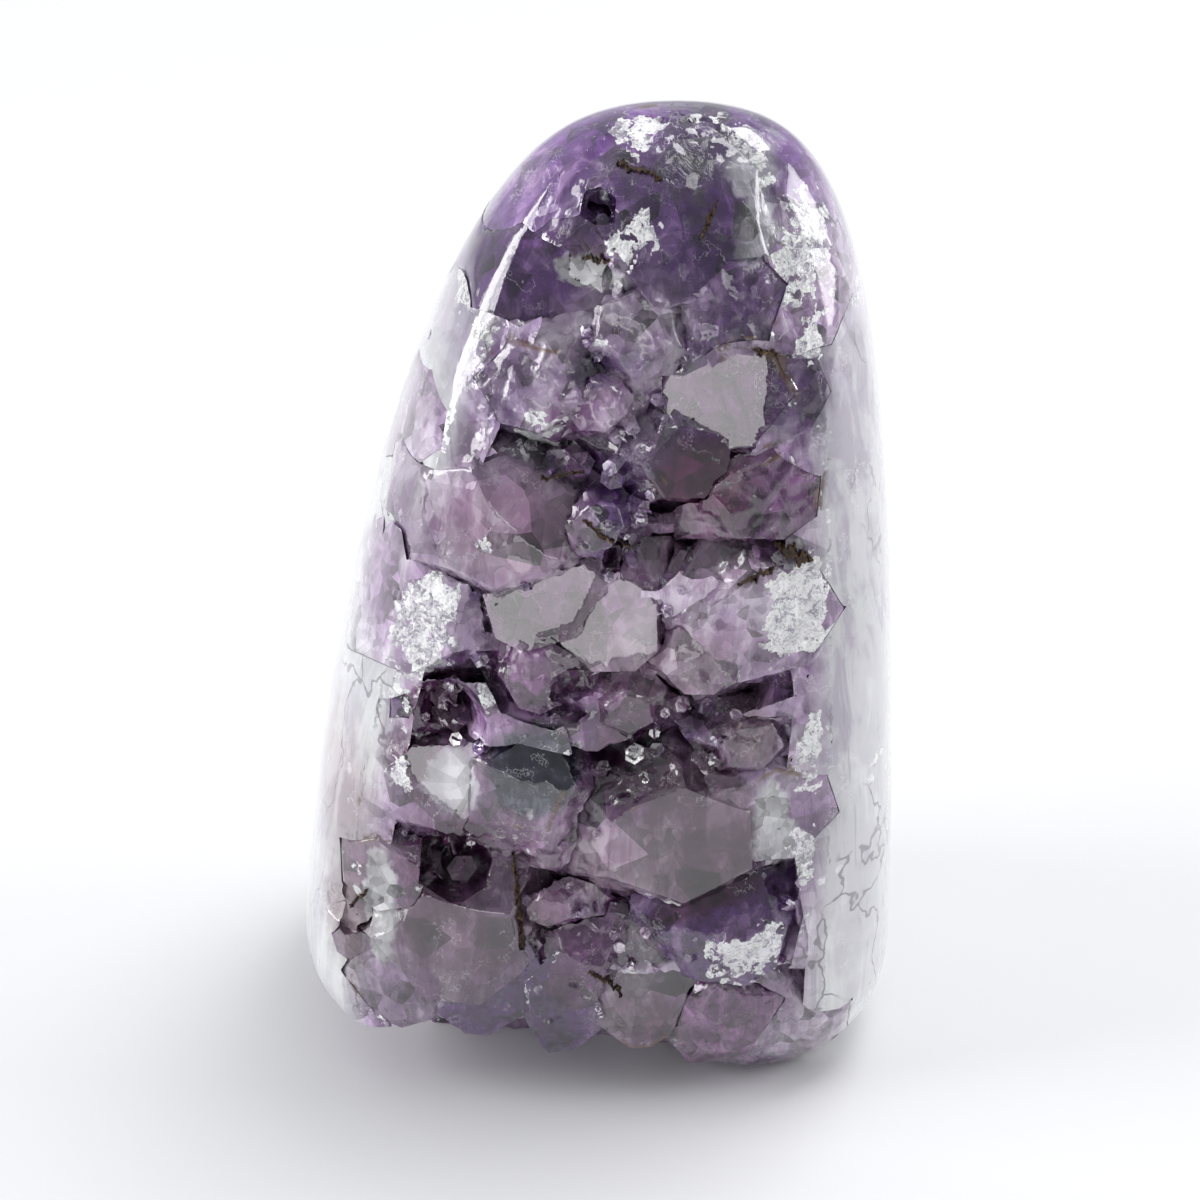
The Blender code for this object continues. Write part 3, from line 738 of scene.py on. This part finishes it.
def quartz_point():
    """One six-sided quartz point, 1 mm in radius and standing on the origin."""
    bpy.ops.mesh.primitive_cylinder_add(vertices=6, radius=1.0, depth=1.6, location=(0, 0, 0.4))
    point = bpy.context.object
    bpy.ops.object.transform_apply(location=True, rotation=False, scale=False)
    for face in point.data.polygons:
        face.select = face.normal.z > 0.9
    bpy.ops.object.mode_set(mode="EDIT")
    bpy.ops.mesh.extrude_region_move(TRANSFORM_OT_translate={"value": (0.12, 0, 1.1)})
    bpy.ops.transform.resize(value=(0.12, 0.2, 1))
    bpy.ops.object.mode_set(mode="OBJECT")
    return point


def stones_tree(pieces):
    """All stones as one surface to look things up on, in millimetres."""
    places, faces = [], []
    for piece in pieces:
        start = sum(len(part) for part in places)
        places.append(vertex_places(piece.data) / MM)
        faces += [[start + index for index in face.vertices] for face in piece.data.polygons]
    return BVHTree.FromPolygons([tuple(place) for place in np.concatenate(places)], faces)


def druse_places(tree, rng):
    """Where small quartz points grow: the hollows that can be seen from the front."""
    found = []
    for z in np.arange(1.5, HEIGHT - 3, DRUSE_STEP):
        for x in np.arange(-HALF_WIDTH, HALF_WIDTH, DRUSE_STEP):
            jitter = rng.uniform(-0.5, 0.5, 3) * DRUSE_STEP
            before, above = LOOK_FROM
            start = Vector((x + jitter[0], before, z + above + jitter[1]))
            way = Vector((LOOK_WAY[0] * jitter[2], *LOOK_WAY[1:]))
            hit, normal, _, _ = tree.ray_cast(start, way)
            if hit is None or hit.z < DRUSE_LOWEST:
                continue
            place = np.array([hit])
            depth = float(-outside(place)[0] / outline_slope(place)[1][0])
            on_flat = normal.dot(Vector(GLINT_WAY)) > FLAT_LIKENESS
            if depth > DRUSE_DEPTH and front_share(place)[0] > DRUSE_FRONT and not on_flat:
                found.append((hit, normal, depth))
    return found


def grow_druse(name, tree, chosen, seed, tone):
    """Small quartz points over the natural hollows, joined as one crust."""
    rng = np.random.default_rng(seed)
    point = quartz_point()
    copies = []
    for hit, normal, depth in druse_places(tree, rng):
        draw = rng.uniform(0, 1, 5)
        if not chosen(hit) or draw[0] < DRUSE_BARE:
            continue
        size = min(blend(*DRUSE_SIZE, draw[1] ** DRUSE_SMALLNESS), depth * DRUSE_BURIED)
        lean = Vector((draw[2] - 0.5, -0.5, draw[3] - 0.4)) * DRUSE_LEAN
        way = (normal + lean).normalized()
        copy = point.copy()
        copy.data = point.data.copy()
        bpy.context.scene.collection.objects.link(copy)
        stand = way.to_track_quat("Z", "Y").to_matrix().to_4x4()
        spin = Matrix.Rotation(draw[4] * math.pi, 4, "Z")
        shape = Matrix.Diagonal((*(size * part for part in DRUSE_SHAPE), 1))
        copy.data.transform(Matrix.Scale(MM, 4) @ Matrix.Translation(hit) @ stand @ spin @ shape)
        copies.append(copy)
    bpy.data.objects.remove(point, do_unlink=True)
    deselect_all()
    for copy in copies:
        copy.select_set(True)
    bpy.context.view_layer.objects.active = copies[0]
    bpy.ops.object.join()
    crust = bpy.context.object
    crust.name = crust.data.name = name
    paint(crust.data, tone)
    crust.data.materials.append(amethyst_finish(name, 0.25, 0.5, 2.0, seed * 1.7))
    return crust


def iron_seam(index, tree, first_x, first_z, last_x, last_z, width):
    """A jagged crack filled with iron stain, lying on the stones at the front."""
    bpy.ops.mesh.primitive_grid_add(x_subdivisions=26, y_subdivisions=3, size=2.0)
    seam = bpy.context.object
    seam.name = seam.data.name = f"iron_seam_{index}"
    places = []
    for vert in seam.data.vertices:
        share = (vert.co.x + 1) / 2
        taper = math.sin(math.pi * min(max(share, 0.03), 0.97)) ** 0.6
        across = vert.co.y * width * taper
        step = noise.noise(Vector((share * 9, index * 3.0, 0)))
        ragged = noise.noise(Vector((share * 23, vert.co.y * 2, index * 5.0)))
        x = blend(first_x, last_x, share) + ragged * 0.2
        z = blend(first_z, last_z, share) + (step * 1.3 + across * 0.5 + ragged * 0.35) * width
        middle_y, front = outline_at(z)[1:4:2]
        places.append((x, middle_y - front * 0.97, z))
    surface = onto_outline(np.array(places))
    for vert, place in zip(seam.data.vertices, surface, strict=True):
        hit = tree.ray_cast(Vector(place) + Vector((0, -5, 2)), Vector((0, 1, -0.4)))[0]
        sunk = 0 if hit is None else min(max(hit.y - place[1], 0), SEAM_SUNK)
        vert.co = (Vector(place) + Vector((0, sunk, 0))) * MM
    thicken = seam.modifiers.new("thickness", "SOLIDIFY")
    thicken.thickness = SEAM_THICKNESS * MM
    thicken.offset = 0.0
    deselect_all()
    seam.select_set(True)
    bpy.context.view_layer.objects.active = seam
    bpy.ops.object.modifier_apply(modifier="thickness")
    return seam


# ---------------------------------------------------------------- finishes


class Finish:
    """A procedural material, and short calls that add its nodes."""

    def __init__(self, name):
        self.material = bpy.data.materials.new(name)
        self.material.use_nodes = True
        self.tree = self.material.node_tree
        self.shader = self.tree.nodes["Principled BSDF"]
        self.shader.distribution = "GGX"

    def add(self, kind, out=0, settings=(), **inputs):
        node = self.tree.nodes.new("ShaderNode" + kind)
        for key, value in dict(settings).items():
            setattr(node, key, value)
        for key, value in inputs.items():
            self.put(node, key.replace("_", " ") if isinstance(key, str) else key, value)
        return node.outputs[out]

    def put(self, node, key, value):
        if key[:2] == "in" and key[2:].isdigit():
            key = int(key[2:])
        socket = node.inputs[key]
        if isinstance(value, bpy.types.NodeSocket):
            self.tree.links.new(value, socket)
        else:
            socket.default_value = value

    def math(self, what, first, second=0.0, clamp=False):
        settings = {"operation": what, "use_clamp": clamp}
        return self.add("Math", settings=settings, in0=first, in1=second)

    def vector(self, what, first, second=(0, 0, 0), out=0):
        return self.add(
            "VectorMath", out=out, settings={"operation": what}, in0=first, in1=second
        )

    def ramp(self, value, low, high):
        """0 at low, 1 at high, smooth between."""
        return self.add(
            "MapRange",
            settings={"interpolation_type": "SMOOTHSTEP"},
            Value=value,
            From_Min=low,
            From_Max=high,
        )

    def mix(self, share, first, second, how="MIX"):
        node = self.tree.nodes.new("ShaderNodeMix")
        node.data_type = "RGBA"
        node.blend_type = how
        for key, value in ((0, share), (6, first), (7, second)):
            if isinstance(value, bpy.types.NodeSocket):
                self.tree.links.new(value, node.inputs[key])
            elif isinstance(value, tuple) and len(value) == 3:
                node.inputs[key].default_value = (*value, 1)
            else:
                node.inputs[key].default_value = value
        return node.outputs[2]

    def noise(self, where, scale, detail=3.0, roughness=0.55, distortion=0.0, out=0):
        return self.add(
            "TexNoise",
            out=out,
            Vector=where,
            Scale=scale,
            Detail=detail,
            Roughness=roughness,
            Distortion=distortion,
        )

    def attribute(self, name, out="Fac"):
        return self.add("Attribute", out=out, settings={"attribute_name": name})

    def cells(self, where, scale):
        """Colour and place of the cells of a broken, flat-faced grain."""
        node = self.tree.nodes.new("ShaderNodeTexVoronoi")
        node.inputs["Scale"].default_value = scale
        self.tree.links.new(where, node.inputs["Vector"])
        return node.outputs["Color"], node.outputs["Position"]

    def edge_distance(self, where, scale):
        node = self.tree.nodes.new("ShaderNodeTexVoronoi")
        node.feature = "DISTANCE_TO_EDGE"
        node.inputs["Scale"].default_value = scale
        self.tree.links.new(where, node.inputs["Vector"])
        return node.outputs["Distance"]

    def facet_height(self, where, scale):
        """Height of small flat faces, each tilted its own way."""
        colour, place = self.cells(where, scale)
        tilt = self.vector("SUBTRACT", colour, (0.5, 0.5, 0.5))
        away = self.vector("SUBTRACT", where, place)
        return self.vector("DOT_PRODUCT", away, tilt, out="Value"), colour


def zoned(f, zone, tones):
    """Dark, middle and pale by a zone value around a half."""
    dark, middle, pale = tones
    colour = f.mix(f.ramp(zone, 0.38, 0.49), dark, middle)
    return f.mix(f.ramp(zone, 0.50, 0.62), colour, pale)


def scratched(f, place, colour):
    """Dark hair cracks and fine scratches over the colour of a polished side."""
    tall = f.add("Mapping", Vector=place, Scale=(1, 1, 0.45))
    bends = f.noise(place, CRACK_BENDS, detail=3.0, out="Color")
    drawn = f.mix(0.005, tall, bends, "LINEAR_LIGHT")
    crack = f.math("SUBTRACT", 1.0, f.ramp(f.edge_distance(drawn, CRACKS), 0.006, 0.022))
    groups = f.ramp(f.noise(place, CRACK_GROUPS, detail=3.0), 0.47, 0.55)
    crack = f.math("MULTIPLY", crack, groups)
    colour = f.mix(f.math("MULTIPLY", crack, 0.7), colour, HAIR_CRACK)
    thin = f.add("Mapping", Vector=place, Scale=(1, 1, 0.07))
    scratch = f.ramp(f.noise(thin, SCRATCHES, detail=2.0), 0.66, 0.70)
    return f.mix(f.math("MULTIPLY", scratch, 0.35), colour, SCRATCH)


def amethyst_finish(name, fractures, clearness, chip, seed, is_polished_mass=False):
    """Amethyst: zoned purple, broken inner faces with painted light and shade, silvery fractures
    with painted glints, stained partings and painted shade in the hollows.

    chip is the size of the inner faces in millimetres. The last argument is for the ground mass,
    whose polished sides are painted pale as a painted reflection of the white surroundings,
    streaked along its height and purple towards the top.
    """
    f = Finish(name)
    place = f.add("TexCoord", out="Object")
    own = f.add("Mapping", Vector=place, Location=(seed * 0.31, seed * 0.17, seed * 0.23))
    polish, rim, depth = f.attribute("polish"), f.attribute("rim"), f.attribute("depth")
    open_face = f.math("SUBTRACT", 1.0, f.ramp(f.attribute("flat"), 0.1, 0.9))

    # colour zones, some running through several crystals, some drawn out in sweeping veils
    cloud = f.noise(place, CLOUDS, detail=4.0, roughness=0.6, distortion=0.6)
    tilted = f.add("Mapping", Vector=own, Rotation=(0.5, seed * 1.3, 0.4), Scale=(1, 1, 0.22))
    veil = f.noise(tilted, VEILS, detail=5.0, roughness=0.62, distortion=0.8)
    zone = f.math("ADD", f.math("MULTIPLY", cloud, 0.55), f.math("MULTIPLY", veil, 0.45))
    colour = zoned(f, zone, [f.attribute(name, "Color") for name in TONE_NAMES])
    side, foil = f.attribute("side"), f.attribute("foil")

    # painted light and shade of the inner broken faces: each face is lit its own amount, brighter
    # or darker from edge to edge
    height, cell = f.facet_height(own, 1000 / chip)
    small, small_cell = f.facet_height(own, 2900 / chip)
    light = f.math("MULTIPLY", f.add("SeparateColor", out=0, Color=cell), 0.8)
    fine_shade = f.math("MULTIPLY", f.add("SeparateColor", out=1, Color=small_cell), 0.6)
    light = f.math("ADD", f.math("ADD", light, fine_shade), f.math("MULTIPLY", height, 1100 / chip))
    light = f.math("MAXIMUM", f.math("ADD", light, 0.26), 0.06)
    grey = f.add("CombineColor", Red=light, Green=light, Blue=light)
    facet_shading_strength = f.math("SUBTRACT", 0.9, f.math("MULTIPLY", side, 0.9))
    colour = f.mix(facet_shading_strength, colour, grey, "MULTIPLY")

    # silvery, crumpled fracture sheets with torn, angular edges; their pale colour is the
    # fractures' own, and their brighter and darker crumples are painted glints
    shards = f.add("SeparateColor", out=0, Color=f.cells(own, SHARDS)[0])
    torn = f.noise(own, TEARS, detail=6.0, roughness=0.62)
    torn = f.math("ADD", torn, f.math("MULTIPLY", shards, 0.09))
    torn = f.math("ADD", torn, f.math("MULTIPLY", foil, 0.22))
    edge = 0.76 - 0.10 * fractures
    sheet = f.math("MULTIPLY", f.ramp(torn, edge, edge + 0.012), open_face)
    bends = f.noise(own, CRUMPLE_BENDS, detail=4.0, out="Color")
    bent = f.mix(0.006, own, bends, "LINEAR_LIGHT")
    crumple, glint = f.facet_height(bent, CRUMPLES)
    fine_glint = f.add("SeparateColor", out=1, Color=f.cells(bent, GLINTS)[0])
    glint = f.math("ADD", f.add("SeparateColor", out=0, Color=glint), fine_glint)
    silver_glints = f.mix(f.ramp(glint, 0.2, 1.3), *SILVER_GLINTS)

    # fine bright threads and sparkles
    thread = f.noise(own, THREADS, detail=5.0, roughness=0.65)
    thread = f.math("ABSOLUTE", f.math("SUBTRACT", thread, 0.5))
    thread = f.math("SUBTRACT", 1.0, f.ramp(thread, 0.002, 0.009))
    thread = f.math("MULTIPLY", thread, f.ramp(f.noise(place, THREAD_GROUPS), 0.48, 0.60))
    sparkle = f.add("SeparateColor", out=2, Color=f.cells(own, SPARKLES)[0])
    sparkle = f.math("MULTIPLY", f.ramp(sparkle, 0.95, 0.96), f.ramp(torn, edge - 0.10, edge))
    sparkle = f.math("MULTIPLY", sparkle, open_face)
    colour = f.mix(f.math("MULTIPLY", thread, 0.5), colour, WHITE_FRACTURE)
    colour = f.mix(sheet, colour, silver_glints)
    colour = f.mix(sparkle, colour, SPARKLE)

    if is_polished_mass:
        colour = scratched(f, place, colour)

    # iron-stained partings
    rusty = f.ramp(f.noise(place, STAINS, detail=5.0), 0.60, 0.64)
    stain = f.math("MULTIPLY", f.ramp(rim, 0.62, 0.9), rusty)
    colour = f.mix(f.math("MULTIPLY", stain, 0.85), colour, IRON_STAIN)

    # painted shade: the natural hollows darken towards deep purple, the more the deeper they lie
    shadow = f.math("MULTIPLY", f.ramp(depth, 0.15, 0.75), 0.6)
    colour = f.mix(shadow, colour, tuple(share * 0.5 for share in PURPLES["deep"][0]))

    solid = f.math("MAXIMUM", sheet, stain)
    f.put(f.shader, "Base Color", colour)
    f.put(f.shader, "Roughness", f.math("ADD", 0.06, f.math("MULTIPLY", solid, 0.16)))
    clear = f.math("MULTIPLY", f.math("SUBTRACT", 1.0, solid, clamp=True), clearness)
    f.put(f.shader, "Transmission Weight", clear)
    rough = f.math("MULTIPLY", f.math("SUBTRACT", 1.1, polish), open_face)
    bumps = f.math("ADD", f.math("MULTIPLY", height, 0.45), f.math("MULTIPLY", small, 0.45))
    bumps = f.math("ADD", bumps, f.math("MULTIPLY", veil, 0.0005))
    bumps = f.math("MULTIPLY", bumps, rough)
    bumps = f.math("ADD", bumps, f.math("MULTIPLY", f.math("MULTIPLY", crumple, sheet), 0.5))
    f.put(f.shader, "Normal", f.add("Bump", Strength=0.7, Distance=1.0, Height=bumps))
    for key, value in QUARTZ_GLOSS.items():
        f.put(f.shader, key, value)
    return f.material


def iron_finish():
    """Rusty brown crust with golden crumbs."""
    f = Finish("iron_stain")
    place = f.add("TexCoord", out="Object")
    black, brown, golden = RUST
    grain = f.noise(place, RUST_GRAINS, detail=6.0, roughness=0.7)
    colour = f.mix(f.ramp(grain, 0.38, 0.55), black, brown)
    colour = f.mix(f.ramp(grain, 0.58, 0.70), colour, golden)
    f.put(f.shader, "Base Color", colour)
    f.put(f.shader, "Roughness", f.add("MapRange", Value=grain, To_Min=0.45, To_Max=0.8))
    f.put(f.shader, "Normal", f.add("Bump", Strength=0.8, Distance=0.0004, Height=grain))
    return f.material


# ---------------------------------------------------------------- stage


def look_at(obj, target):
    way = Vector(target) - obj.location
    obj.rotation_euler = way.to_track_quat("-Z", "Y").to_euler()


def add_camera():
    camera = bpy.data.objects.new("camera", bpy.data.cameras.new("camera"))
    bpy.context.scene.collection.objects.link(camera)
    camera.data.lens = CAMERA_LENS
    camera.data.sensor_width = 36
    camera.data.clip_start = 0.01
    aim = Vector(CAMERA_AIM)
    back = Vector((0, -math.cos(CAMERA_ELEVATION), math.sin(CAMERA_ELEVATION)))
    camera.location = aim + back * CAMERA_DISTANCE
    look_at(camera, aim)
    bpy.context.scene.camera = camera


def add_softbox(name, place, width, height, power, target=(0, 0, 0.05)):
    light = bpy.data.objects.new(name, bpy.data.lights.new(name, "AREA"))
    bpy.context.scene.collection.objects.link(light)
    light.data.shape = "RECTANGLE"
    light.data.size = width
    light.data.size_y = height
    light.data.energy = power
    light.location = place
    look_at(light, target)


def add_floor():
    bpy.ops.mesh.primitive_plane_add(size=6.0, location=(0, 0, 0))
    floor = bpy.context.object
    floor.name = "floor"
    f = Finish("pale_floor")
    f.put(f.shader, "Base Color", (0.86, 0.86, 0.87, 1))
    f.put(f.shader, "Roughness", 0.6)
    floor.data.materials.append(f.material)


def add_surroundings():
    """A white light tent, darker on the side it is looked into from, with soft lights round it."""
    world = bpy.data.worlds.new("light_tent")
    bpy.context.scene.world = world
    world.use_nodes = True
    tree = world.node_tree
    glow = tree.nodes["Background"]
    glow.inputs["Color"].default_value = (0.95, 0.97, 1.0, 1)
    way = tree.nodes.new("ShaderNodeTexCoord")
    split = tree.nodes.new("ShaderNodeSeparateXYZ")
    dim = tree.nodes.new("ShaderNodeMapRange")
    dim.interpolation_type = "SMOOTHSTEP"
    for key, value in zip(("From Min", "From Max", "To Min", "To Max"), TENT_GLOW, strict=True):
        dim.inputs[key].default_value = value
    tree.links.new(way.outputs["Generated"], split.inputs[0])
    tree.links.new(split.outputs["Y"], dim.inputs["Value"])
    tree.links.new(dim.outputs[0], glow.inputs["Strength"])
    for name, place, width, height, power in SOFTBOXES:
        add_softbox(name, place, width, height, power)
    bpy.context.scene.view_settings.view_transform = "Standard"


def add_piece(piece, slot, *nodes):
    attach(piece, "root")
    if nodes:
        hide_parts(*nodes)


def main():
    deselect_all()
    add_camera()
    add_surroundings()
    add_floor()
    stones = []
    for index, (node, traits) in enumerate(CRYSTALS.items()):
        tone, fractures, clearness, chip, broken = traits
        piece = stone(node, tone, broken)
        finish = amethyst_finish(node, fractures, clearness, chip, index + 1.0)
        piece.data.materials.append(finish)
        add_piece(piece, SLOTS[node], node)
        stones.append(piece)
    mass = stone("polished_mass", "lilac", MASS_BROKEN, MASS_FILL, MASS_FINE_DEPTH)
    finish = amethyst_finish("polished_mass", *MASS_TRAITS, seed=0.0, is_polished_mass=True)
    mass.data.materials.append(finish)
    add_piece(mass, SLOTS["polished_mass"], "polished_mass")
    stones.append(mass)

    tree = stones_tree(stones)
    valley_druse = grow_druse("valley_druse", tree, lambda place: place.z > RIM_TOP, 3, "violet")
    add_piece(valley_druse, "violet_amethyst")
    rim_druse = grow_druse("rim_druse", tree, lambda place: place.z <= RIM_TOP, 5, "mauve")
    add_piece(rim_druse, "mauve_amethyst")
    rust = iron_finish()
    for index, seam in enumerate(IRON_SEAMS, start=1):
        piece = iron_seam(index, tree, *seam)
        piece.data.materials.append(rust)
        add_piece(piece, SLOTS["polished_mass"])


main()
